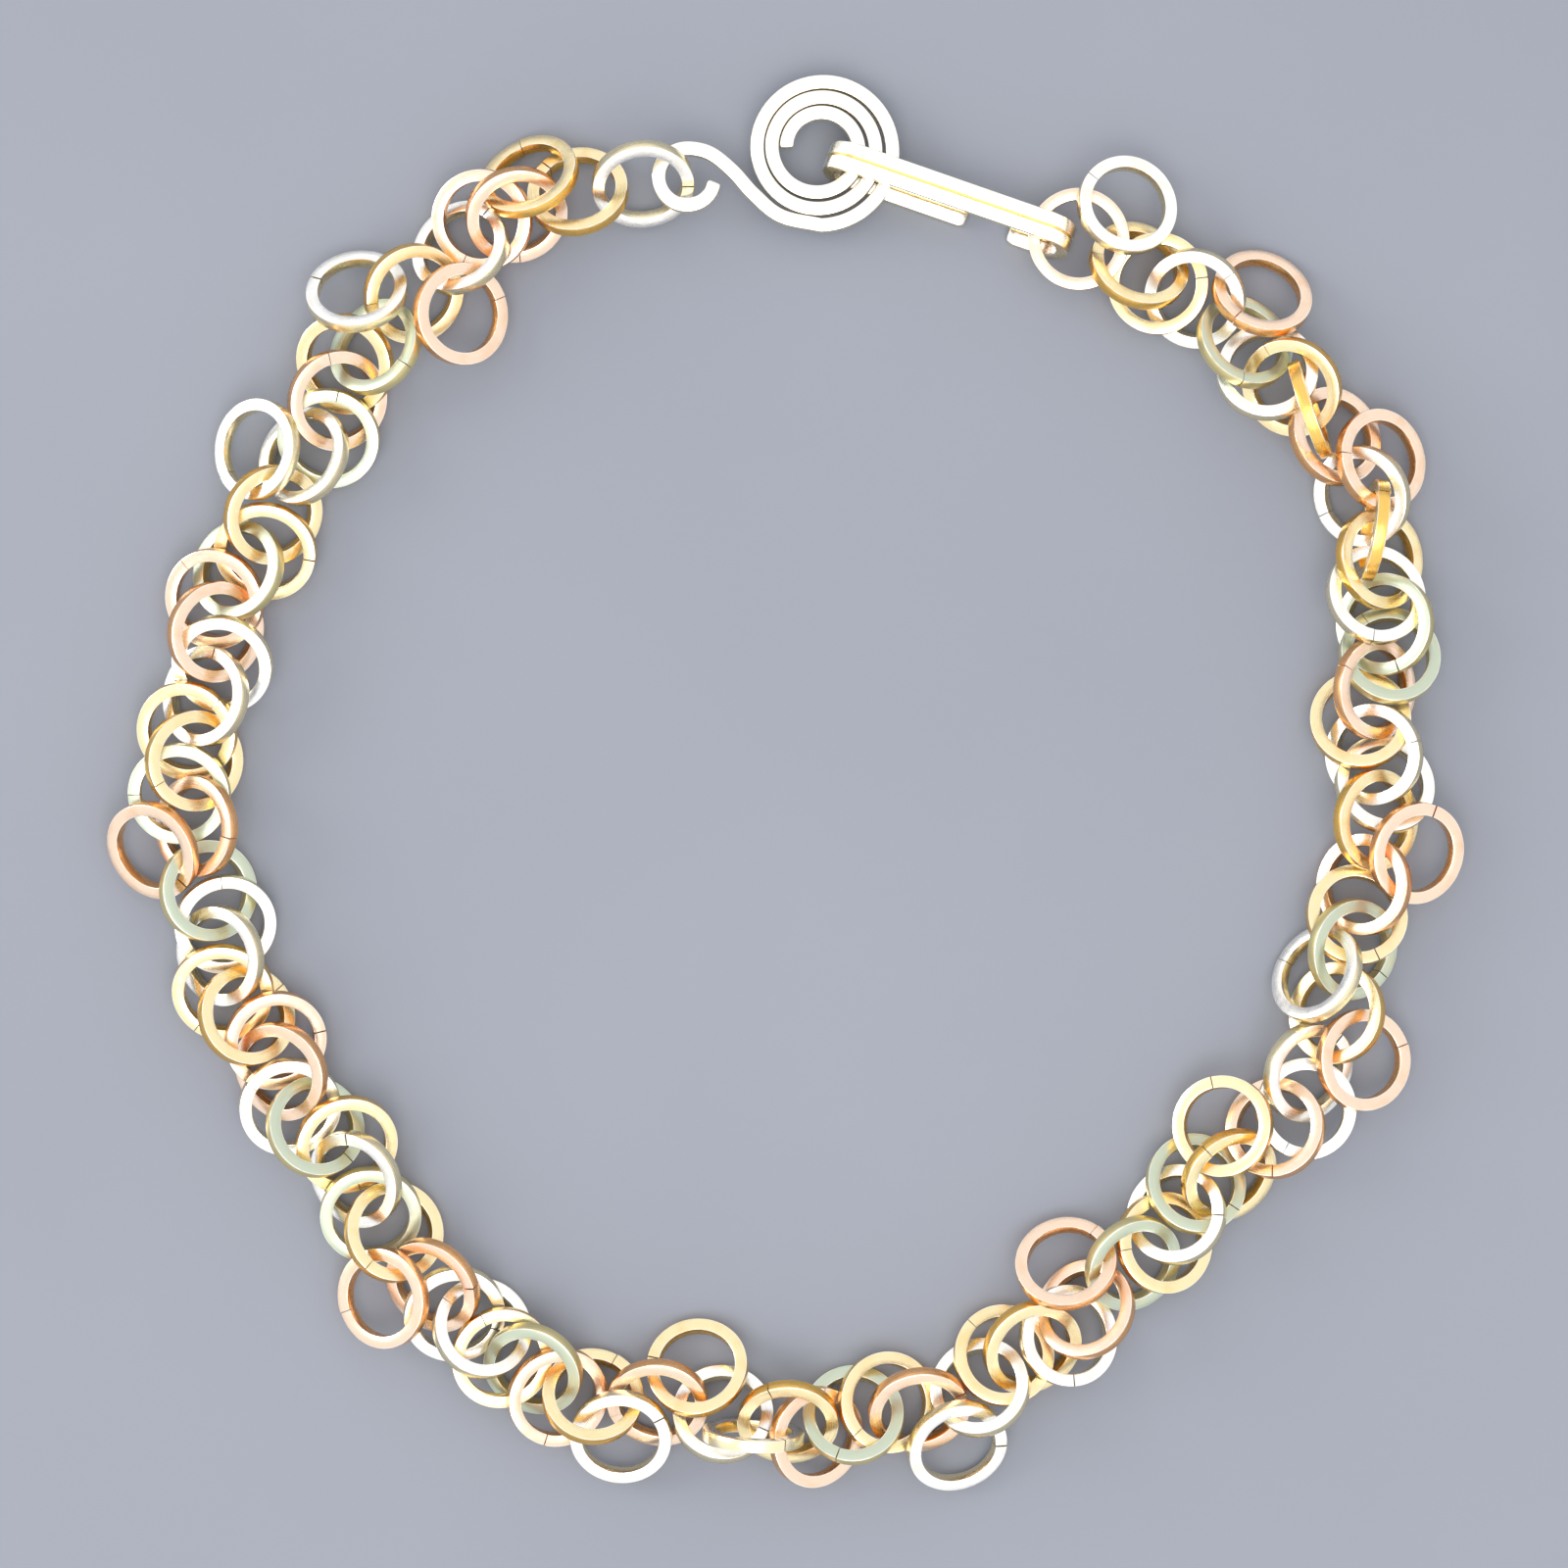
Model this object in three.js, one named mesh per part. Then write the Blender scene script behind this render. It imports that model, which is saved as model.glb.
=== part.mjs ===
// Necklace of interlocked square-wire gold rings, closed with a spiral and a hook.
// It lies flat in an oval loop. Millimetres, +Z up, origin under the middle of the loop.
import * as THREE from "three";

// Rings
const RING_OUTER_RADIUS = 5.75;
const WIRE = 1.4; // side of the square ring wire
const RING_SEGMENTS = 20;
const RINGS_PER_SIDE = 26; // on each side of the lowest ring
const RING_ROLL = 32; // degrees that a ring leans out of the table plane
const RING_ROLL_SPREAD = 3;
const WANDER = 0.3; // sideways scatter of the ring centres

// Clasp wire and the heights at which its layers lie
const CLASP_WIRE = 1.6;
const HOOK_GAP = 3.2; // clear height inside the hook
const SPIRAL_LIFT = 0.5; // play between the hook's lower leg and the spiral
const HOOK_MIDDLE = CLASP_WIRE + HOOK_GAP / 2;
const SPIRAL_HEIGHT = 1.5 * CLASP_WIRE + SPIRAL_LIFT;

// Spiral half of the clasp
const SPIRAL_CENTRE = new THREE.Vector2(4.2, 71.6);
const SPIRAL_INNER_RADIUS = 3.6; // wire centre line at the inner end
const SPIRAL_PITCH = 1.8; // growth of the radius in one turn
const SPIRAL_TURNS = 2.75;
const SPIRAL_STEPS_PER_TURN = 26;
const EYE_CENTRE = new THREE.Vector2(-11, 68.3);
const EYE_RADIUS = 3.2;
const EYE_END_ANGLE = 350; // degrees at which the eye's wire stops
const EYE_STEP = 26; // degrees between two points of the eye
const EYE_RING_DIRECTION = 189; // degrees from the eye to the ring that hangs in it
const EYE_RING_ROLL = 46;

// Hook half of the clasp
const HOOK_LENGTH = 29.6;
const HOOK_ANGLE = -19.2; // degrees, seen from above
const HOOK_START = 0.8; // distance of its outer face from the spiral's centre
const LEFT_LEG_END = 17.3; // the lower wire is open between the ends of the two legs
const RIGHT_LEG_START = 22.3;
const LEG_OFFSET = 1.2; // how far the lower legs lie to one side of the upper one
const BEND_STEPS = 10; // facets in each of the hook's two half circles
const GROOVE_HALF_WIDTH = 0.15;
const GROOVE_DEPTH = 0.25;

// The ring in the hook and the ring before it
const HOOK_RING_CENTRE = 30.1; // distance of its centre from the hook's outer face
const HOOK_RING_ROLL = 5;
const HOOK_RING_PITCH = 4; // degrees; the end inside the hook lies lower
const HOOK_NEIGHBOUR_ROLL = 34;
const HOOK_NEIGHBOUR_DRIFT = 0.3;

// Course of the chain from the spiral's eye round to the hook, seen from above
const ROUTE_LEFT = [
  [-24, 66.4], [-34, 62.5], [-46, 50], [-55, 35.5], [-62.6, 22], [-66.4, 6], [-66, -10],
  [-61, -26.5], [-51.5, -41], [-40, -56.5], [-27, -67.5], [-12, -71],
];
const ROUTE_RIGHT = [
  [4, -72.3], [19, -70], [32.5, -61], [45, -49], [57, -37.5], [63.5, -22.5], [66.6, -6],
  [67, 9.5], [67.6, 25.5], [60.5, 41.5], [50, 51.5], [41.5, 58],
];

const METALS = {
  yellow_gold: { color: 0xe9c878, roughness: 0.28 },
  rose_gold: { color: 0xe6b49a, roughness: 0.28 },
  green_gold: { color: 0xc3c6a0, roughness: 0.34 },
  white_gold: { color: 0xdedcd4, roughness: 0.26 },
};
const METAL_OF_LETTER = { Y: "yellow_gold", R: "rose_gold", G: "green_gold", W: "white_gold" };
const LEFT_METALS = "RYGWRYWGRYWGRYWRGYWRGYWRYW"; // from beside the lowest ring to the eye
const RIGHT_METALS = "YGRWYRGWYRWYGRYWRGYWRYGWYR"; // from beside the lowest ring to the hook
const LOWEST_METAL = "W";

const radians = THREE.MathUtils.degToRad;
const ringCentreRadius = RING_OUTER_RADIUS - WIRE / 2;
const hookDirection = unitAlong(HOOK_ANGLE);
const hookOrigin = SPIRAL_CENTRE.clone().addScaledVector(hookDirection, HOOK_START);
const necklace = new THREE.Group();
necklace.name = "ring_necklace";

function unitAlong(angle) {
  return new THREE.Vector2(Math.cos(radians(angle)), Math.sin(radians(angle)));
}

function addPiece(name, geometry, metal) {
  const material = new THREE.MeshStandardMaterial({ ...METALS[metal], metalness: 1 });
  const piece = new THREE.Mesh(geometry, material);
  piece.name = name;
  necklace.add(piece);
  return piece;
}

function rectangle(halfWidth, halfHeight) {
  return [
    [-halfWidth, -halfHeight],
    [halfWidth, -halfHeight],
    [halfWidth, halfHeight],
    [-halfWidth, halfHeight],
  ];
}

// A square wire closed into a ring about +Z
function ringGeometry() {
  const inner = RING_OUTER_RADIUS - WIRE;
  const half = WIRE / 2;
  const profile = [
    new THREE.Vector2(RING_OUTER_RADIUS, -half),
    new THREE.Vector2(RING_OUTER_RADIUS, half),
    new THREE.Vector2(inner, half),
    new THREE.Vector2(inner, -half),
    new THREE.Vector2(RING_OUTER_RADIUS, -half),
  ];
  const geometry = new THREE.LatheGeometry(profile, RING_SEGMENTS);
  return geometry.rotateX(Math.PI / 2);
}

// Section points are [along fixedAxis, across it]; the section follows the stations
function sweep(stations, fixedAxis, section) {
  const positions = [];
  const indices = [];
  const count = section.length;
  stations.forEach((station, i) => {
    const before = stations[Math.max(i - 1, 0)];
    const after = stations[Math.min(i + 1, stations.length - 1)];
    const tangent = after.clone().sub(before).normalize();
    const across = new THREE.Vector3().crossVectors(fixedAxis, tangent).normalize();
    for (const [a, b] of section) {
      const corner = station.clone().addScaledVector(fixedAxis, a).addScaledVector(across, b);
      positions.push(...corner);
    }
  });
  for (let i = 0; i < stations.length - 1; i += 1) {
    for (let j = 0; j < count; j += 1) {
      const here = i * count + j;
      const next = i * count + ((j + 1) % count);
      indices.push(here, here + count, next, next, here + count, next + count);
    }
  }
  const outline = section.map(([a, b]) => new THREE.Vector2(a, b));
  const last = (stations.length - 1) * count;
  for (const [a, b, c] of THREE.ShapeUtils.triangulateShape(outline, [])) {
    indices.push(a, b, c, last + a, last + c, last + b);
  }
  const geometry = new THREE.BufferGeometry();
  geometry.setAttribute("position", new THREE.Float32BufferAttribute(positions, 3));
  geometry.setIndex(indices);
  geometry.computeVertexNormals();
  return geometry;
}

// Height of the centre of a ring that leans by roll and touches the table
function floorHeight(roll) {
  const angle = radians(roll);
  return RING_OUTER_RADIUS * Math.sin(angle) + (WIRE / 2) * Math.cos(angle);
}

function chainCourse() {
  const toFirst = unitAlong(EYE_RING_DIRECTION);
  const first = EYE_CENTRE.clone().addScaledVector(toFirst, ringCentreRadius);
  const last = hookOrigin.clone().addScaledVector(hookDirection, HOOK_RING_CENTRE);
  const corners = [first.toArray(), ...ROUTE_LEFT, ...ROUTE_RIGHT, last.toArray()];
  const curve = new THREE.CatmullRomCurve3(corners.map(([x, y]) => new THREE.Vector3(x, y, 0)));
  curve.arcLengthDivisions = 2000;
  return curve;
}

// Lean of ring number k, counted from the lowest ring: negative on the left side
function ringRoll(k) {
  if (k === -RINGS_PER_SIDE) return EYE_RING_ROLL;
  if (k === RINGS_PER_SIDE) return HOOK_RING_ROLL;
  if (k === RINGS_PER_SIDE - 1) return HOOK_NEIGHBOUR_ROLL;
  return RING_ROLL + RING_ROLL_SPREAD * Math.sin(2.3 * k);
}

function ringHeight(k) {
  if (k !== RINGS_PER_SIDE) return floorHeight(ringRoll(k));
  return HOOK_MIDDLE + ringCentreRadius * Math.sin(radians(HOOK_RING_PITCH));
}

// Sideways offset of a ring from the course
function ringDrift(k) {
  if (Math.abs(k) === RINGS_PER_SIDE) return 0;
  if (k === RINGS_PER_SIDE - 1) return HOOK_NEIGHBOUR_DRIFT;
  return WANDER * Math.sin(4.1 * k);
}

function ringName(k) {
  if (k === 0) return "ring_lowest";
  const side = k < 0 ? "left" : "right";
  return `ring_${side}_${String(Math.abs(k)).padStart(2, "0")}`;
}

function ringMetal(k) {
  if (k === 0) return METAL_OF_LETTER[LOWEST_METAL];
  const letters = k < 0 ? LEFT_METALS : RIGHT_METALS;
  return METAL_OF_LETTER[letters[Math.abs(k) - 1]];
}

function addRing(k, course) {
  const u = (k + RINGS_PER_SIDE) / (2 * RINGS_PER_SIDE);
  const along = course.getTangentAt(u);
  const up = new THREE.Vector3(0, 0, 1);
  const side = new THREE.Vector3().crossVectors(up, along);
  const roll = radians(ringRoll(k)) * (k % 2 === 0 ? -1 : 1);
  const ring = addPiece(ringName(k), ringGeometry(), ringMetal(k));
  ring.quaternion.setFromRotationMatrix(new THREE.Matrix4().makeBasis(along, side, up));
  if (k === RINGS_PER_SIDE) ring.rotateY(radians(HOOK_RING_PITCH));
  ring.rotateX(roll);
  ring.position.copy(course.getPointAt(u)).addScaledVector(side, ringDrift(k));
  ring.position.z = ringHeight(k);
}

function coilStations() {
  const steps = Math.round(SPIRAL_TURNS * SPIRAL_STEPS_PER_TURN);
  return Array.from({ length: steps + 1 }, (_, i) => {
    const turns = (i / steps) * SPIRAL_TURNS;
    const radius = SPIRAL_INNER_RADIUS + SPIRAL_PITCH * turns;
    const point = SPIRAL_CENTRE.clone().addScaledVector(unitAlong(180 - 360 * turns), radius);
    return new THREE.Vector3(point.x, point.y, SPIRAL_HEIGHT);
  });
}

// The wire leaves the coil leftward, climbs in an S and closes into the eye
function tailStations(start) {
  const eyeHeight = floorHeight(EYE_RING_ROLL);
  const bends = [[-0.5, 64.1], [-3.4, 66.4], [-6, 69.2], [-8.6, 71.1]];
  const rise = (eyeHeight - SPIRAL_HEIGHT) / (bends.length + 1);
  const points = [start];
  bends.forEach(([x, y], i) => {
    points.push(new THREE.Vector3(x, y, SPIRAL_HEIGHT + rise * (i + 1)));
  });
  for (let angle = 90; angle <= EYE_END_ANGLE; angle += EYE_STEP) {
    const point = EYE_CENTRE.clone().addScaledVector(unitAlong(angle), EYE_RADIUS);
    points.push(new THREE.Vector3(point.x, point.y, eyeHeight));
  }
  return new THREE.CatmullRomCurve3(points).getSpacedPoints(44).slice(1);
}

function addSpiral() {
  const coil = coilStations();
  const stations = [...coil, ...tailStations(coil[coil.length - 1])];
  const section = rectangle(CLASP_WIRE / 2, CLASP_WIRE / 2);
  addPiece("spiral", sweep(stations, new THREE.Vector3(0, 0, 1), section), "white_gold");
}

// Points of a half circle in the hook's upright plane; turn is +1 or -1
function hookBend(centre, from, turn) {
  const radius = (CLASP_WIRE + HOOK_GAP) / 2;
  return Array.from({ length: BEND_STEPS + 1 }, (_, i) => {
    const angle = radians(from + (turn * 180 * i) / BEND_STEPS);
    const x = centre + radius * Math.cos(angle);
    return new THREE.Vector3(x, 0, HOOK_MIDDLE + radius * Math.sin(angle));
  });
}

// Two square wires side by side, with a groove where they meet
function hookSection() {
  const [a, b, c, d] = rectangle(CLASP_WIRE, CLASP_WIRE / 2);
  const half = CLASP_WIRE / 2;
  const lower = [[-GROOVE_HALF_WIDTH, -half], [0, GROOVE_DEPTH - half], [GROOVE_HALF_WIDTH, -half]];
  const upper = [[GROOVE_HALF_WIDTH, half], [0, half - GROOVE_DEPTH], [-GROOVE_HALF_WIDTH, half]];
  return [a, ...lower, b, c, ...upper, d];
}

// Shifts a hook point sideways, the more the lower it lies
function slanted(point) {
  const top = CLASP_WIRE * 1.5 + HOOK_GAP;
  const share = (top - point.z) / (CLASP_WIRE + HOOK_GAP);
  return new THREE.Vector3(point.x, -LEG_OFFSET * share, point.z);
}

function addHook() {
  const reach = CLASP_WIRE + HOOK_GAP / 2;
  const low = CLASP_WIRE / 2;
  const stations = [
    new THREE.Vector3(LEFT_LEG_END, 0, low),
    ...hookBend(reach, 270, -1),
    ...hookBend(HOOK_LENGTH - reach, 90, -1),
    new THREE.Vector3(RIGHT_LEG_START, 0, low),
  ];
  const geometry = sweep(stations.map(slanted), new THREE.Vector3(0, 1, 0), hookSection());
  const hook = addPiece("hook", geometry, "white_gold");
  hook.rotation.z = radians(HOOK_ANGLE);
  hook.position.set(hookOrigin.x, hookOrigin.y, 0);
}

function moveOriginUnderMiddle() {
  const box = new THREE.Box3().setFromObject(necklace, true);
  const middle = box.getCenter(new THREE.Vector3());
  const shift = new THREE.Vector3(-middle.x, -middle.y, -box.min.z);
  necklace.children.forEach((piece) => piece.position.add(shift));
}

const course = chainCourse();
for (let k = -RINGS_PER_SIDE; k <= RINGS_PER_SIDE; k += 1) addRing(k, course);
addSpiral();
addHook();
moveOriginUnderMiddle();

export default necklace;
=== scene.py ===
import math

import bpy
import numpy as np
from mathutils import Matrix, Vector


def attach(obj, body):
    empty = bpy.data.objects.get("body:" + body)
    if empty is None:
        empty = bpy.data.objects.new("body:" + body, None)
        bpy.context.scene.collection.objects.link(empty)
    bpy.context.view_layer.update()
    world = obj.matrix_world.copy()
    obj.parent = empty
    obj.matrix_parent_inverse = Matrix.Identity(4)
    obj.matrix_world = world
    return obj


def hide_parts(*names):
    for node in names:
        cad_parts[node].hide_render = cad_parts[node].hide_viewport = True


# Looks of the ring necklace: finely cut rings, the loose rings between them, the clasp,
# four golds, table, lights and camera. Metres, +Z up.
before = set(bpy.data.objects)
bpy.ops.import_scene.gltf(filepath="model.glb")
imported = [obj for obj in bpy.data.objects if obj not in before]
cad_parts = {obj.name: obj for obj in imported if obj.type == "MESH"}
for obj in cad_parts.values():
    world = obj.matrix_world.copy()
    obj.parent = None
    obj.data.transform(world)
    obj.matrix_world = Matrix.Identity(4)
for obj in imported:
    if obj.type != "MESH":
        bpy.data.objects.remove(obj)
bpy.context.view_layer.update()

MM = 0.001

# Rings: square wire bent round and left open by a hair at the joint
RING_RADIUS = 5.05 * MM  # of the wire's centre line
WIRE = 1.4 * MM
RINGS_PER_SIDE = 26
RING_STEPS = 96
RING_SHAPES = 4  # differently bent and marked rings of each metal
JOINT_GAP = 0.11 * MM
JOINT_STEP = 0.12 * MM  # one end of the wire lies this much higher than the other
OTHER_STEP_SHARE = -0.6  # of that step, on the second half of the shapes
OUT_OF_ROUND = 0.0072
BEND_PHASE = 1.3  # radians from one shape's bend to the next
WIRE_BEVEL = 0.11 * MM
GOLDEN_ANGLE = 2.399963  # radians; turns each ring's joint away from its neighbours'
MARKS_APART = 37.0  # millimetres between the places where two rings' marks start

# Wire meshes
BEVEL_ANGLES = (0.0, 45.0, 90.0)
WALL_FROM = 0.95  # of half a section's width; a side further out than this is a wall
SMOOTH_ANGLE = 30  # degrees; sharper edges are left sharp

# CAD rings
CORNER_DECIMALS = 6  # corners within a micrometre are one

# Loose rings between each two rings of the chain, from the eye round to the hook. They join
# both and lie towards the outside (o), the inside (i) or neither (c) of the loop, stand on
# edge (u), or hang on one of the two alone, far out on the outside (O) or the inside (I).
# A dash leaves its place empty
LOOSE = "-OoIOicOiocioOicoiciOiocOIuoiOicIocIoOIcOioicuOuiOiO"
LOOSE_METALS = "-YRRWYGWYRWYGRWYRWYGRWYRWYWRYWYWRYGYWRWYRWYGWYRYWRYW"
JOINING_OFFSET = 2.6 * MM  # sideways from the chain
JOINING_SCATTER = 0.5 * MM
SCATTER_PHASE = 4.9  # radians from one loose ring's scatter to the next
JOINING_LEAN = 0.25  # slope along the chain, so that each lies on the one before
HANGING_OFFSET = 4.3 * MM
HANGING_HEIGHT = 4.6 * MM
HANGING_SLOPE = 0.35  # slope away from the chain
UPRIGHT_LEAN = 0.16
UPRIGHT_CLEARANCE = 0.55  # of a wire, from the table up to the ring's centre line
FIRST_LOOSE_NUMBER = 61  # sets its shape and spin; the chain's rings are counted from 0

# Settling of the loose rings
SAMPLES = 48
SETTLE_STEPS = 260
FALL = 0.022 * MM  # in one step, at first
FALL_FADE = 1.6  # the fall has faded out after 1 / 1.6 of the steps
PLAY = 0.22 * MM  # kept between wires, so that fewer of them overlap at rest
RELAX = 0.7  # share of the mean push that a ring gives way by
LOOSE_SHARE = 0.5  # of a push between two loose rings, since both of them move
NEAR_CHAIN = (-3, -2, -1, 0, 1, 2, 3, 4)  # chain rings felt, counted from the host
NEAR_LOOSE = (-4, -3, -2, -1, 1, 2, 3, 4)  # loose rings felt, counted from itself
NEARLY_FLAT = 0.9  # height of the normal of a ring that lies nearly flat
TINY = 1e-12  # added to a length before dividing by it

# Clasp, in the design's own coordinates, which lie DESIGN_SHIFT off the frame's
DESIGN_SHIFT = Vector((-0.562, -1.18, 0)) * MM
CLASP_WIRE = 1.6 * MM
CLASP_BEVEL = 0.22 * MM
HOOK_GAP = 3.2 * MM
SPIRAL_HEIGHT = 2.9 * MM
SPIRAL_CENTRE = Vector((4.2, 71.6, 0)) * MM
SPIRAL_INNER_RADIUS = 3.6 * MM
SPIRAL_PITCH = 1.8 * MM
SPIRAL_TURNS = 2.75
SPIRAL_STEPS_PER_TURN = 72
SPIRAL_START_ANGLE = 180
SPIRAL_DRIFT = 0.13 * MM  # each turn further in lies this much towards the angle below
SPIRAL_DRIFT_ANGLE = 150
TAIL_BENDS = ((-0.5, 64.1), (-3.4, 66.4), (-6.0, 69.2), (-8.6, 71.1))
EYE_CENTRE = Vector((-11.0, 68.3, 0)) * MM
EYE_RADIUS = 3.2 * MM
EYE_START_ANGLE = 90
EYE_END_ANGLE = 350
EYE_STEP = 26
EYE_RING_ROLL = 46
TAIL_STEPS = 14  # between two points of the tail
HOOK_LENGTH = 29.6 * MM
HOOK_ANGLE = -19.2
HOOK_START = 0.8 * MM
LEFT_LEG_END = 17.3 * MM
RIGHT_LEG_START = 22.3 * MM
LEG_OFFSET = 1.2 * MM  # how far the lower legs lie to one side of the upper one
HOOK_BEND_STEPS = 28
GROOVE_HALF_WIDTH = 0.17 * MM
GROOVE_DEPTH = 0.32 * MM
SPIRAL_END_ROUNDING = 0.4 * MM
HOOK_END_ROUNDING = 0.9 * MM
TIP_SIZE = 0.55  # of a worn wire end, against the whole wire
TIP_SHARES = (0.0, 0.1, 0.25, 0.5, 1.0)

# Face colour; colour of the side walls, a deeper tint that is painted reflection of the
# neighbouring gold; roughness
METALS = {
    "yellow_gold": ((0.98, 0.82, 0.49), (1.0, 0.58, 0.11), 0.22),
    "rose_gold": ((0.98, 0.74, 0.57), (1.0, 0.52, 0.20), 0.22),
    "green_gold": ((0.60, 0.66, 0.52), (0.90, 0.76, 0.36), 0.32),
    "white_gold": ((1.0, 0.985, 0.95), (1.0, 0.86, 0.52), 0.20),
}
METAL_OF_LETTER = {
    "Y": "yellow_gold",
    "R": "rose_gold",
    "G": "green_gold",
    "W": "white_gold",
}
# Near-white colour blended onto the bevel edges: a painted highlight.
EDGE_HIGHLIGHT_COLOUR = (1.0, 0.97, 0.88, 1.0)

# Table, lights and camera
TABLE_HALF = 1.5
TABLE_DARK = (0.24, 0.255, 0.30, 1.0)
TABLE_LIGHT = (0.275, 0.29, 0.335, 1.0)
SOFTBOXES = (  # name, place, width, power, colour
    ("overhead_softbox", (0.0, -0.35, 0.95), 0.9, 5.0, (1.0, 0.99, 0.97)),
    ("left_softbox", (-0.95, 0.25, 0.45), 0.6, 4.0, (1.0, 0.98, 0.95)),
)
SKY_COLOUR = (0.98, 0.99, 1.0, 1.0)
SKY_STRENGTH = 1.12
VIEW_CENTRE = (-0.6 * MM, -1.5 * MM)
VIEW_WIDTH = 0.179
CAMERA_LENS = 100
CAMERA_SENSOR = 36

UP = np.array((0.0, 0.0, 1.0))


# ---------------------------------------------------------------- metals


class Nodes:
    """Short way to add and link the nodes of one material."""

    def __init__(self, name):
        self.material = bpy.data.materials.new(name)
        self.material.use_nodes = True
        self.tree = self.material.node_tree
        self.shader = self.tree.nodes["Principled BSDF"]

    def add(self, kind, inputs=None, **settings):
        node = self.tree.nodes.new(kind)
        for key, value in settings.items():
            setattr(node, key, value)
        for key, value in (inputs or {}).items():
            self.feed(node.inputs[key], value)
        return node

    def feed(self, socket, value):
        if isinstance(value, bpy.types.NodeSocket):
            self.tree.links.new(value, socket)
        else:
            socket.default_value = value

    def maths(self, operation, first, second):
        node = self.add("ShaderNodeMath", {0: first, 1: second}, operation=operation)
        return node.outputs[0]

    def ramp(self, value, low, high, out_low=0.0, out_high=1.0):
        inputs = {0: value, 1: low, 2: high, 3: out_low, 4: out_high}
        return self.add("ShaderNodeMapRange", inputs).outputs[0]

    def noise(self, vector, scale, detail=2.0):
        inputs = {"Vector": vector, "Scale": scale, "Detail": detail}
        return self.add("ShaderNodeTexNoise", inputs).outputs["Fac"]

    def stretched(self, vector, scale):
        node = self.add("ShaderNodeMapping", {"Vector": vector, "Scale": scale})
        return node.outputs[0]

    def blend(self, factor, first, second):
        """Mixes colours, which are inputs 6 and 7 and output 2 of the Mix node."""
        node = self.add("ShaderNodeMix", data_type="RGBA")
        self.feed(node.inputs[0], factor)
        self.feed(node.inputs[6], first)
        self.feed(node.inputs[7], second)
        return node.outputs[2]

    def attribute(self, name):
        return self.add("ShaderNodeAttribute", attribute_name=name).outputs["Fac"]


def shade(colour, factor):
    return tuple(channel * factor for channel in colour) + (1.0,)


def metal_material(name, face, wall, roughness):
    """Drawn and burnished gold. UVs run along the wire and round it, in millimetres."""
    nodes = Nodes(name)
    along_wire = nodes.add("ShaderNodeUVMap", uv_map="wire").outputs[0]
    streaks = nodes.noise(nodes.stretched(along_wire, (0.35, 9.0, 1.0)), scale=1.0, detail=4.0)
    scratches = nodes.noise(nodes.stretched(along_wire, (0.9, 30.0, 1.0)), scale=1.0)
    clouds = nodes.noise(along_wire, scale=0.42, detail=3.0)
    dents = nodes.noise(along_wire, scale=0.8, detail=1.0)
    on_wall = nodes.attribute("wall")
    on_edge = nodes.attribute("edge")

    # The side walls take the deeper wall colour: painted reflection of neighbouring gold, the
    # one metal in two tints.
    colour = nodes.blend(on_wall, shade(face, 1.0), shade(wall, 1.0))
    # Random low-frequency patches blended towards a darker wall colour: painted reflection of
    # neighbouring gold.
    painted_reflection_patches = nodes.ramp(clouds, 0.50, 0.70, out_high=0.32)
    colour = nodes.blend(painted_reflection_patches, colour, shade(wall, 0.86))
    grain = nodes.ramp(streaks, 0.35, 0.70, out_high=0.35)
    colour = nodes.blend(grain, colour, shade(face, 0.80))
    # Bevel edges, in patches: real wear makes them smoother (below), and blending towards a
    # near-white colour paints a highlight on them.
    edge_wear_and_highlight = nodes.ramp(dents, 0.35, 0.6, out_low=0.25, out_high=0.8)
    worn = nodes.maths("MULTIPLY", on_edge, edge_wear_and_highlight)
    colour = nodes.blend(worn, colour, EDGE_HIGHLIGHT_COLOUR)
    nodes.feed(nodes.shader.inputs["Base Color"], colour)
    nodes.shader.inputs["Metallic"].default_value = 1.0

    smoothest, roughest = roughness - 0.06, roughness + 0.12
    rough = nodes.ramp(streaks, 0.3, 0.7, out_low=smoothest, out_high=roughest)
    rough = nodes.maths("ADD", rough, nodes.ramp(clouds, 0.4, 0.7, out_high=0.1))
    rough = nodes.maths("SUBTRACT", rough, nodes.maths("MULTIPLY", worn, 0.12))
    nodes.feed(nodes.shader.inputs["Roughness"], rough)

    inputs = {"Height": scratches, "Strength": 0.35, "Distance": 0.02 * MM}
    fine = nodes.add("ShaderNodeBump", inputs).outputs[0]
    inputs = {"Height": dents, "Strength": 0.25, "Distance": 0.1 * MM, "Normal": fine}
    broad = nodes.add("ShaderNodeBump", inputs).outputs[0]
    nodes.feed(nodes.shader.inputs["Normal"], broad)
    return nodes.material


# ---------------------------------------------------------------- wire meshes


def bevelled_corner(a, b, bevel):
    """Three points round one corner of a section; a and b are its signed half sides."""
    sign_a = math.copysign(1.0, a)
    sign_b = math.copysign(1.0, b)
    centre = (a - sign_a * bevel, b - sign_b * bevel)
    points = []
    for angle in BEVEL_ANGLES:
        turn = math.radians(angle)
        out_a = sign_a * bevel * math.cos(turn)
        out_b = sign_b * bevel * math.sin(turn)
        points.append((centre[0] + out_a, centre[1] + out_b))
    return points if sign_a == sign_b else points[::-1]


def square_section(side, bevel):
    half = side / 2
    corners = ((half, half), (-half, half), (-half, -half), (half, -half))
    return [point for a, b in corners for point in bevelled_corner(a, b, bevel)]


def hook_section():
    """Two square wires side by side. The first coordinate runs across both."""
    half = CLASP_WIRE / 2
    shoulder, deep = GROOVE_HALF_WIDTH, half - GROOVE_DEPTH
    section = bevelled_corner(CLASP_WIRE, half, CLASP_BEVEL)
    section += [(shoulder, half), (0.0, deep), (-shoulder, half)]
    section += bevelled_corner(-CLASP_WIRE, half, CLASP_BEVEL)
    section += bevelled_corner(-CLASP_WIRE, -half, CLASP_BEVEL)
    section += [(-shoulder, -half), (0.0, -deep), (shoulder, -half)]
    section += bevelled_corner(CLASP_WIRE, -half, CLASP_BEVEL)
    return section


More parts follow.
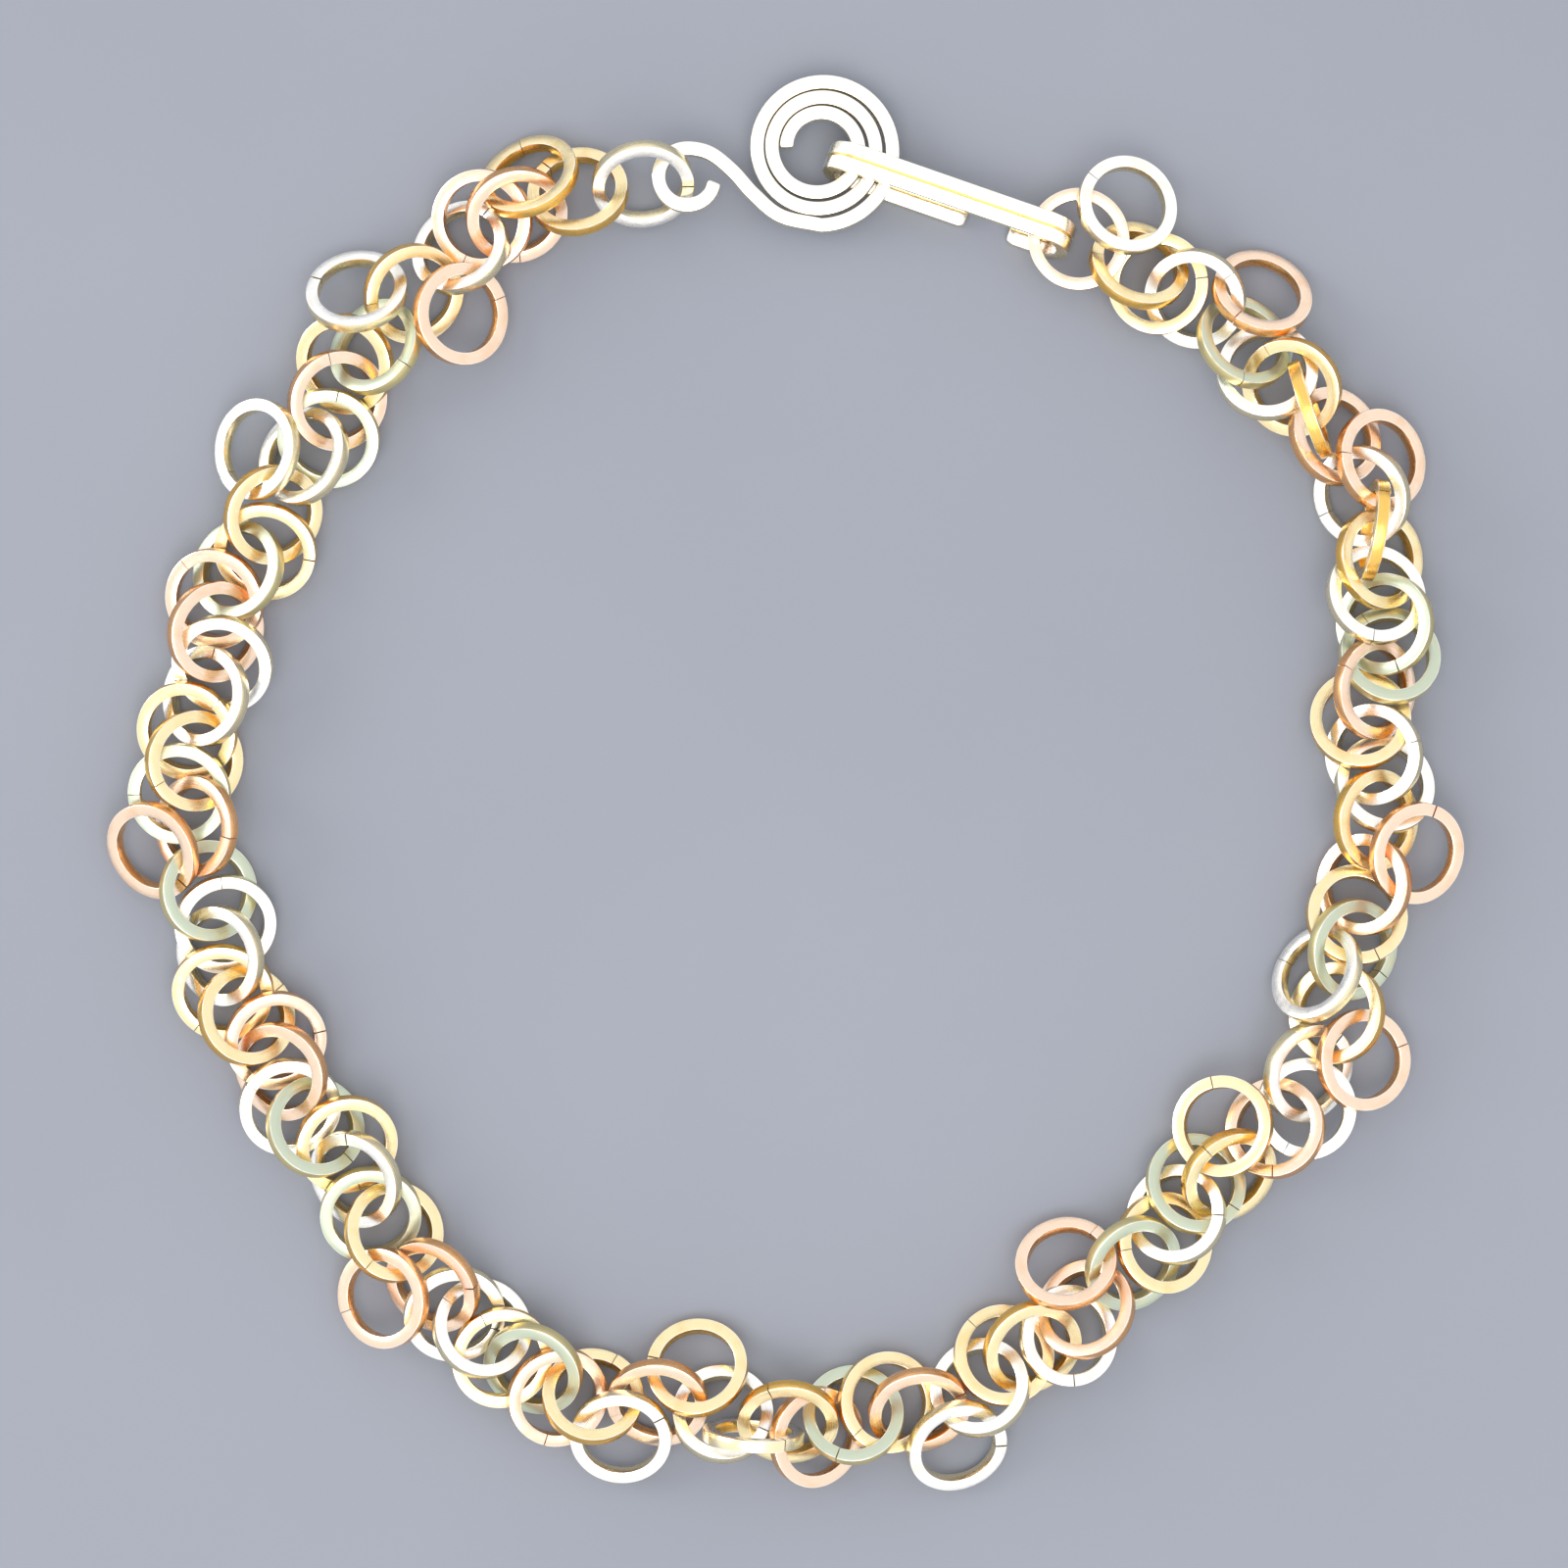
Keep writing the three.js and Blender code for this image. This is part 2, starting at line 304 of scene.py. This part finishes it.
class Wire:
    """A section swept along a path into a mesh with its marks and UVs."""

    def __init__(self, section, wall_of_side, edge_of_side):
        self.section = section
        self.wall = wall_of_side
        self.edge = edge_of_side
        self.lengths = self.section_lengths()

    def section_lengths(self):
        lengths = [0.0]
        for here, after in zip(self.section, self.section[1:] + self.section[:1]):
            lengths.append(lengths[-1] + math.dist(here, after) / MM)
        return lengths

    def sweep(self, name, stations, uv_start=0.0):
        """stations are (point, first axis, second axis, size of the section)."""
        count = len(self.section)
        vertices = []
        distances = [uv_start]
        for i, (point, first, second, size) in enumerate(stations):
            if i:
                step = (point - stations[i - 1][0]).length
                distances.append(distances[-1] + step / MM)
            for a, b in self.section:
                vertices.append(point + first * (a * size) + second * (b * size))
        faces, uvs, wall, edge = [], [], [], []
        for i in range(len(stations) - 1):
            for j in range(count):
                k = (j + 1) % count
                here, after = i * count, (i + 1) * count
                faces.append((here + j, here + k, after + k, after + j))
                u, v = distances[i : i + 2], self.lengths[j : j + 2]
                uvs += [(u[0], v[0]), (u[0], v[1]), (u[1], v[1]), (u[1], v[0])]
                wall.append(self.wall[j])
                edge.append(self.edge[j])
        last = (len(stations) - 1) * count
        for cap in (range(count - 1, -1, -1), range(last, last + count)):
            faces.append(tuple(cap))
            uvs += [(a / MM, b / MM) for a, b in self.section]
            wall.append(1.0)
            edge.append(0.0)
        return build_mesh(name, vertices, faces, uvs, wall, edge)


def build_mesh(name, vertices, faces, uvs, wall, edge):
    mesh = bpy.data.meshes.new(name)
    mesh.from_pydata(vertices, [], faces)
    layer = mesh.uv_layers.new(name="wire")
    layer.data.foreach_set("uv", np.array(uvs, dtype=float).ravel())
    for label, values in (("wall", wall), ("edge", edge)):
        attribute = mesh.attributes.new(label, "FLOAT", "FACE")
        attribute.data.foreach_set("value", values)
    mesh.polygons.foreach_set("use_smooth", [True] * len(mesh.polygons))
    mesh.set_sharp_from_angle(angle=math.radians(SMOOTH_ANGLE))
    mesh.update()
    return mesh


def square_wire(side, bevel):
    """Each corner has two bevel facets, the edges; sides across the first axis are walls."""
    section = square_section(side, bevel)
    edge = [1.0, 1.0, 0.0] * 4
    wall = []
    for here, after in zip(section, section[1:] + section[:1]):
        middle = (here[0] + after[0]) / 2
        wall.append(1.0 if abs(middle) > side / 2 * WALL_FROM else 0.0)
    return Wire(section, wall, edge)


def double_wire():
    """The groove's sides count as walls, and only the bevel facets as edges."""
    section = hook_section()
    wall, edge = [], []
    for here, after in zip(section, section[1:] + section[:1]):
        middle = (here[0] + after[0]) / 2
        in_groove = abs(middle) < GROOVE_HALF_WIDTH
        wall.append(1.0 if abs(middle) > CLASP_WIRE * WALL_FROM or in_groove else 0.0)
        edge.append(1.0 if math.dist(here, after) < CLASP_BEVEL else 0.0)
    return Wire(section, wall, edge)


# ---------------------------------------------------------------- chain rings


def ring_stations(shape):
    """Stations of one ring about +Z with its joint at angle 0, bent oval or three-sided."""
    half_gap = JOINT_GAP / 2 / RING_RADIUS
    sides = 2 + shape % 2
    step = JOINT_STEP * (1 if shape < RING_SHAPES / 2 else OTHER_STEP_SHARE)
    stations = []
    for i in range(RING_STEPS + 1):
        share = i / RING_STEPS
        angle = half_gap + share * (2 * math.pi - 2 * half_gap)
        bend = OUT_OF_ROUND * math.cos(sides * angle + BEND_PHASE * shape)
        radius = RING_RADIUS * (1 + bend)
        outward = Vector((math.cos(angle), math.sin(angle), 0))
        lift = step * (share - 0.5)
        point = outward * radius + Vector((0, 0, lift))
        stations.append((point, outward, Vector((0, 0, 1)), 1.0))
    return stations


class RingMaker:
    """Makes ring pieces, sharing one mesh between rings of a shape and metal."""

    def __init__(self, materials):
        self.wire = square_wire(WIRE, WIRE_BEVEL)
        self.materials = materials
        self.meshes = {}

    def mesh(self, shape, metal):
        key = (shape, metal)
        if key not in self.meshes:
            start = MARKS_APART * len(self.meshes)
            mesh = self.wire.sweep(f"{metal}_ring_{shape}", ring_stations(shape), start)
            mesh.materials.append(self.materials[metal])
            self.meshes[key] = mesh
        return self.meshes[key]

    def add(self, name, number, metal, centre, normal):
        piece = bpy.data.objects.new(name, self.mesh(number % RING_SHAPES, metal))
        bpy.context.scene.collection.objects.link(piece)
        tilt = Vector((0, 0, 1)).rotation_difference(Vector(normal)).to_matrix().to_4x4()
        spin = Matrix.Rotation(number * GOLDEN_ANGLE, 4, "Z")
        piece.matrix_world = Matrix.Translation(Vector(centre)) @ tilt @ spin
        return piece


def chain_names():
    left = [f"ring_left_{k:02d}" for k in range(RINGS_PER_SIDE, 0, -1)]
    right = [f"ring_right_{k:02d}" for k in range(1, RINGS_PER_SIDE + 1)]
    return left + ["ring_lowest"] + right


def ring_plane(node):
    """Centre and upward normal of a CAD ring, along which its corners spread the least."""
    corners = np.array([tuple(v.co) for v in node.data.vertices])
    corners = np.unique(np.round(corners, CORNER_DECIMALS), axis=0)
    centre = corners.mean(axis=0)
    normal = np.linalg.svd(corners - centre, full_matrices=False)[2][2]
    return centre, normal * math.copysign(1.0, normal[2])


def chain_directions(centres):
    """Level directions along the chain and to its left, at each ring."""
    along = np.gradient(centres, axis=0)
    along[:, 2] = 0
    along /= np.linalg.norm(along, axis=1, keepdims=True)
    return along, np.cross(UP, along)


# ---------------------------------------------------------------- loose rings


class LooseRings:
    """Rings threaded on the chain's rings, before and after they settle."""

    def __init__(self, centres, normals):
        self.chain_centres = centres
        self.chain_normals = normals
        self.along, self.left = chain_directions(centres)
        self.gaps, self.hosts, self.centres, self.normals = [], [], [], []
        for gap, letter in enumerate(LOOSE):
            self.thread(gap, letter)
        self.centres = np.array(self.centres)
        self.normals = np.array(self.normals)

    def thread(self, gap, letter):
        if letter == "-":
            return
        self.gaps.append(gap)
        if letter in "oic":
            self.add_joining(gap, {"o": -1, "i": 1, "c": 0}[letter])
        elif letter == "u":
            self.add_upright(gap)
        else:
            self.add_hanging(gap, -1 if letter == "O" else 1)

    def middle(self, gap):
        return (self.chain_centres[gap] + self.chain_centres[gap + 1]) / 2

    def add_joining(self, gap, inward):
        """Through both rings, between their high and their low wires. It rides on the second,
        because fewer wires then cut into each other at the links' limits."""
        scatter = JOINING_SCATTER * math.sin(SCATTER_PHASE * gap)
        offset = JOINING_OFFSET * inward + scatter
        centre = self.middle(gap) + self.left[gap] * offset
        self.add(gap + 1, centre, UP + self.along[gap] * JOINING_LEAN)

    def add_hanging(self, gap, inward):
        """On whichever of the two rings is higher on that side, under its wire there."""
        side = self.left[gap] * inward
        host = gap if self.chain_normals[gap] @ side < 0 else gap + 1
        centre = self.middle(gap) + side * HANGING_OFFSET
        centre[2] = HANGING_HEIGHT
        self.add(host, centre, UP + side * HANGING_SLOPE)

    def add_upright(self, gap):
        """Round the crossing wires of the two rings, standing on edge."""
        centre = self.middle(gap)
        centre[2] = RING_RADIUS + WIRE * UPRIGHT_CLEARANCE
        self.add(gap, centre, self.left[gap] + UP * UPRIGHT_LEAN)

    def add(self, host, centre, normal):
        self.hosts.append(host)
        self.centres.append(centre)
        self.normals.append(normal / np.linalg.norm(normal))

    def near_chain(self):
        """Numbers of the chain rings round each loose ring, and which of them exist."""
        numbers = np.array(self.hosts)[:, None] + np.array(NEAR_CHAIN)[None]
        exists = (numbers >= 0) & (numbers < len(self.chain_centres))
        return np.clip(numbers, 0, len(self.chain_centres) - 1), exists

    def near_loose(self):
        """The same for the loose rings round each loose ring."""
        count = len(self.hosts)
        numbers = np.arange(count)[:, None] + np.array(NEAR_LOOSE)[None]
        exists = (numbers >= 0) & (numbers < count)
        return np.clip(numbers, 0, count - 1), exists

    def settle(self):
        """Lets the rings fall while wires push each other apart. The chain stays still."""
        chain, in_chain = self.near_chain()
        loose, in_loose = self.near_loose()
        exists = np.concatenate((in_chain, in_loose), axis=1)
        shares = (np.ones(in_chain.shape), np.full(in_loose.shape, LOOSE_SHARE))
        share = np.concatenate(shares, axis=1)
        for step in range(SETTLE_STEPS):
            centres = np.concatenate((self.chain_centres[chain], self.centres[loose]), axis=1)
            normals = np.concatenate((self.chain_normals[chain], self.normals[loose]), axis=1)
            points = circle_points(self.centres, self.normals)
            push = contact_push(points, self.centres, self.normals, centres, normals)
            push = (push * (exists * share)[:, None, :, None]).sum(axis=2)
            push[:, :, 2] += self.table_push(points)
            self.move(points, push)
            self.centres[:, 2] -= FALL * max(0.0, 1 - FALL_FADE * step / SETTLE_STEPS)

    def table_push(self, points):
        """How far each point has to rise for its wire to clear the table."""
        upright = np.abs(self.normals[:, 2])
        reach = WIRE / 2 * (upright + np.sqrt(1 - upright**2))
        return np.clip(reach[:, None] - points[:, :, 2], 0, None)

    def move(self, points, push):
        """Moves and turns each ring, as a rigid body, by the mean of its pushes."""
        touching = (np.linalg.norm(push, axis=2) > 0).sum(axis=1)
        count = np.maximum(touching, 1)[:, None]
        arm = points - self.centres[:, None]
        turn = np.cross(arm, push).sum(axis=1) / RING_RADIUS**2 / count
        self.centres += RELAX * push.sum(axis=1) / count
        self.normals += RELAX * np.cross(turn, self.normals)
        self.normals /= np.linalg.norm(self.normals, axis=1, keepdims=True)


def circle_points(centres, normals):
    """Points round the centre line of each ring's wire."""
    flat = np.abs(normals[:, 2:]) >= NEARLY_FLAT
    helper = np.where(flat, np.array((1.0, 0.0, 0.0)), UP)
    first = np.cross(helper, normals)
    first /= np.linalg.norm(first, axis=1, keepdims=True)
    second = np.cross(normals, first)
    angles = np.arange(SAMPLES) * 2 * math.pi / SAMPLES
    across = first[:, None] * np.cos(angles)[None, :, None]
    across = across + second[:, None] * np.sin(angles)[None, :, None]
    return centres[:, None] + RING_RADIUS * across


def half_extent(direction, normal, radial):
    """How far a square wire reaches from its centre line in a direction."""
    flat = np.abs((direction * normal).sum(axis=-1))
    outward = np.abs((direction * radial).sum(axis=-1))
    return WIRE / 2 * (flat + outward)


def contact_push(points, own_centres, own_normals, centres, normals):
    """Push on each sample point away from each neighbour ring's wire."""
    offset = points[:, :, None] - centres[:, None]
    normals = normals[:, None]
    radial = offset - (offset * normals).sum(axis=-1, keepdims=True) * normals
    radial /= np.linalg.norm(radial, axis=-1, keepdims=True) + TINY
    gap = offset - RING_RADIUS * radial
    distance = np.linalg.norm(gap, axis=-1, keepdims=True) + TINY
    direction = gap / distance
    own_radial = (points - own_centres[:, None]) / RING_RADIUS
    reach = half_extent(direction, normals, radial)
    reach += half_extent(direction, own_normals[:, None, None], own_radial[:, :, None])
    depth = np.clip(reach + PLAY - distance[..., 0], 0, None)
    return direction * depth[..., None]


# ---------------------------------------------------------------- clasp


def along_angle(degrees):
    turn = math.radians(degrees)
    return Vector((math.cos(turn), math.sin(turn), 0))


def coil_points():
    """The coil's centre line, from its inner end out."""
    steps = round(SPIRAL_TURNS * SPIRAL_STEPS_PER_TURN)
    points = []
    for i in range(steps + 1):
        turns = SPIRAL_TURNS * i / steps
        radius = SPIRAL_INNER_RADIUS + SPIRAL_PITCH * turns
        drift = along_angle(SPIRAL_DRIFT_ANGLE) * (SPIRAL_DRIFT * (SPIRAL_TURNS - turns))
        outward = along_angle(SPIRAL_START_ANGLE - 360 * turns)
        point = SPIRAL_CENTRE + outward * radius + drift
        points.append(Vector((point.x, point.y, SPIRAL_HEIGHT)))
    return points


def tail_knots(start):
    """From the coil through the S and round the eye, level with the centre of its ring."""
    lean = math.radians(EYE_RING_ROLL)
    outer = RING_RADIUS + WIRE / 2
    eye_height = outer * math.sin(lean) + WIRE / 2 * math.cos(lean)
    rise = (eye_height - SPIRAL_HEIGHT) / (len(TAIL_BENDS) + 1)
    knots = [start]
    for i, (x, y) in enumerate(TAIL_BENDS):
        knots.append(Vector((x * MM, y * MM, SPIRAL_HEIGHT + rise * (i + 1))))
    for angle in range(EYE_START_ANGLE, EYE_END_ANGLE + 1, EYE_STEP):
        point = EYE_CENTRE + along_angle(angle) * EYE_RADIUS
        knots.append(Vector((point.x, point.y, eye_height)))
    return knots


def smooth_curve(knots, steps):
    """Points of the centripetal Catmull-Rom curve through the knots."""
    first = knots[0] * 2 - knots[1]
    last = knots[-1] * 2 - knots[-2]
    padded = [first, *knots, last]
    points = [knots[0]]
    for before, here, after, beyond in zip(padded, padded[1:], padded[2:], padded[3:]):
        pairs = ((before, here), (here, after), (after, beyond))
        spans = [(b - a).length ** 0.5 for a, b in pairs]
        leave = knot_tangent(before, here, after, spans[0], spans[1]) * spans[1]
        arrive = knot_tangent(here, after, beyond, spans[1], spans[2]) * spans[1]
        for i in range(1, steps + 1):
            points.append(hermite(here, after, leave, arrive, i / steps))
    return points


def knot_tangent(before, here, after, first, second):
    """Direction of the curve at a knot, from the spans before and after it."""
    whole = (after - before) / (first + second)
    return (here - before) / first - whole + (after - here) / second


def hermite(start, end, leave, arrive, t):
    bend = start * (2 * t**3 - 3 * t**2 + 1) + end * (3 * t**2 - 2 * t**3)
    return bend + leave * (t**3 - 2 * t**2 + t) + arrive * (t**3 - t**2)


def path_stations(points, fixed_axis):
    """Stations whose first axis is fixed and whose second lies across the path."""
    stations = []
    for i, point in enumerate(points):
        forward = points[min(i + 1, len(points) - 1)] - points[max(i - 1, 0)]
        across = fixed_axis.cross(forward).normalized()
        stations.append((point, fixed_axis, across, 1.0))
    return stations


def rounded_ends(stations, rounding):
    """Both ends narrow over the length of the rounding to a worn tip."""
    tips = (stations[0][0], stations[-1][0])
    whole = [s for s in stations if min((s[0] - tip).length for tip in tips) > rounding]
    start = tip_stations(stations[0], stations[1], rounding)
    end = tip_stations(stations[-1], stations[-2], rounding)
    return start + whole + end[::-1]


def tip_stations(tip, next_station, rounding):
    point, first, second, _ = tip
    inward = (next_station[0] - point).normalized()
    stations = []
    for share in TIP_SHARES:
        size = TIP_SIZE + (1 - TIP_SIZE) * math.sqrt(1 - (1 - share) ** 2)
        stations.append((point + inward * (rounding * share), first, second, size))
    return stations


def add_clasp_piece(name, mesh, material):
    mesh.materials.append(material)
    piece = bpy.data.objects.new(f"{name}_fine", mesh)
    bpy.context.scene.collection.objects.link(piece)
    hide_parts(name)
    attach(piece, name)


def add_spiral(material):
    coil = coil_points()
    points = coil + smooth_curve(tail_knots(coil[-1]), TAIL_STEPS)[1:]
    points = [point + DESIGN_SHIFT for point in points]
    stations = rounded_ends(path_stations(points, Vector((0, 0, 1))), SPIRAL_END_ROUNDING)
    stations = [(point, across, fixed, size) for point, fixed, across, size in stations]
    wire = square_wire(CLASP_WIRE, CLASP_BEVEL)
    add_clasp_piece("spiral", wire.sweep("spiral_wire", stations), material)


def hook_bend(centre, start_angle):
    """Half a turn clockwise, seen from the hook's side."""
    radius = (CLASP_WIRE + HOOK_GAP) / 2
    middle = CLASP_WIRE + HOOK_GAP / 2
    points = []
    for i in range(HOOK_BEND_STEPS + 1):
        turn = math.radians(start_angle - 180 * i / HOOK_BEND_STEPS)
        across, up = radius * math.cos(turn), radius * math.sin(turn)
        points.append(Vector((centre + across, 0, middle + up)))
    return points


def slanted(point):
    """A hook point shifted sideways, the more the lower it lies."""
    top = CLASP_WIRE * 1.5 + HOOK_GAP  # of the upper wires' centre line
    share = (top - point.z) / (CLASP_WIRE + HOOK_GAP)
    return Vector((point.x, -LEG_OFFSET * share, point.z))


def add_hook(material):
    reach = CLASP_WIRE + HOOK_GAP / 2
    low = CLASP_WIRE / 2
    points = [
        Vector((LEFT_LEG_END, 0, low)),
        *hook_bend(reach, 270),
        *hook_bend(HOOK_LENGTH - reach, 90),
        Vector((RIGHT_LEG_START, 0, low)),
    ]
    points = [slanted(point) for point in points]
    stations = rounded_ends(path_stations(points, Vector((0, 1, 0))), HOOK_END_ROUNDING)
    mesh = double_wire().sweep("hook_wires", stations)
    start = SPIRAL_CENTRE + along_angle(HOOK_ANGLE) * HOOK_START + DESIGN_SHIFT
    turn = Matrix.Rotation(math.radians(HOOK_ANGLE), 4, "Z")
    mesh.transform(Matrix.Translation(start) @ turn)
    add_clasp_piece("hook", mesh, material)


# ---------------------------------------------------------------- pieces in place


def replace_chain_rings(maker, names, planes):
    for number, (name, (centre, normal)) in enumerate(zip(names, planes)):
        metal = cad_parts[name].data.materials[0].name.split(".")[0]
        piece = maker.add(f"{name}_fine", number, metal, centre, normal)
        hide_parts(name)
        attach(piece, name)


def add_loose_rings(maker, names, planes):
    centres = np.array([centre for centre, _ in planes])
    normals = np.array([normal for _, normal in planes])
    loose = LooseRings(centres, normals)
    loose.settle()
    for i, (gap, host) in enumerate(zip(loose.gaps, loose.hosts)):
        metal = METAL_OF_LETTER[LOOSE_METALS[gap]]
        number = i + FIRST_LOOSE_NUMBER
        name = f"loose_ring_{i + 1:02d}"
        piece = maker.add(name, number, metal, loose.centres[i], loose.normals[i])
        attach(piece, names[host])


# ---------------------------------------------------------------- table, lights, camera


def table_material():
    """Matt slate-grey paper."""
    nodes = Nodes("table_paper")
    place = nodes.add("ShaderNodeTexCoord").outputs["Object"]
    mottle = nodes.noise(place, scale=14.0, detail=5.0)
    fibres = nodes.noise(place, scale=900.0, detail=3.0)
    colour = nodes.blend(mottle, TABLE_DARK, TABLE_LIGHT)
    nodes.feed(nodes.shader.inputs["Base Color"], colour)
    nodes.shader.inputs["Roughness"].default_value = 0.9
    nodes.shader.inputs["Specular IOR Level"].default_value = 0.2
    inputs = {"Height": fibres, "Strength": 0.25, "Distance": 0.05 * MM}
    bump = nodes.add("ShaderNodeBump", inputs).outputs[0]
    nodes.feed(nodes.shader.inputs["Normal"], bump)
    return nodes.material


def add_table():
    half = TABLE_HALF
    corners = [(-half, -half, 0), (half, -half, 0), (half, half, 0), (-half, half, 0)]
    mesh = bpy.data.meshes.new("table")
    mesh.from_pydata(corners, [], [(0, 1, 2, 3)])
    mesh.materials.append(table_material())
    table = bpy.data.objects.new("table", mesh)
    bpy.context.scene.collection.objects.link(table)


def add_area_light(name, place, size, power, colour):
    light = bpy.data.lights.new(name, "AREA")
    light.shape = "DISK"
    light.size = size
    light.energy = power
    light.color = colour
    lamp = bpy.data.objects.new(name, light)
    lamp.location = place
    lamp.rotation_euler = (-Vector(place)).to_track_quat("-Z", "Y").to_euler()
    bpy.context.scene.collection.objects.link(lamp)


def add_lights():
    for softbox in SOFTBOXES:
        add_area_light(*softbox)
    world = bpy.data.worlds.new("studio")
    world.use_nodes = True
    background = world.node_tree.nodes["Background"]
    background.inputs["Color"].default_value = SKY_COLOUR
    background.inputs["Strength"].default_value = SKY_STRENGTH
    bpy.context.scene.world = world
    bpy.context.scene.view_settings.view_transform = "Standard"


def add_camera():
    camera = bpy.data.cameras.new("camera")
    camera.lens = CAMERA_LENS
    camera.sensor_width = CAMERA_SENSOR
    camera.clip_start = 0.01
    holder = bpy.data.objects.new("camera", camera)
    holder.location = (*VIEW_CENTRE, VIEW_WIDTH * CAMERA_LENS / CAMERA_SENSOR)
    bpy.context.scene.collection.objects.link(holder)
    bpy.context.scene.camera = holder


materials = {metal: metal_material(metal, *looks) for metal, looks in METALS.items()}
ring_maker = RingMaker(materials)
ring_names = chain_names()
ring_planes = [ring_plane(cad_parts[name]) for name in ring_names]
replace_chain_rings(ring_maker, ring_names, ring_planes)
add_loose_rings(ring_maker, ring_names, ring_planes)
add_spiral(materials["white_gold"])
add_hook(materials["white_gold"])
add_table()
add_lights()
add_camera()
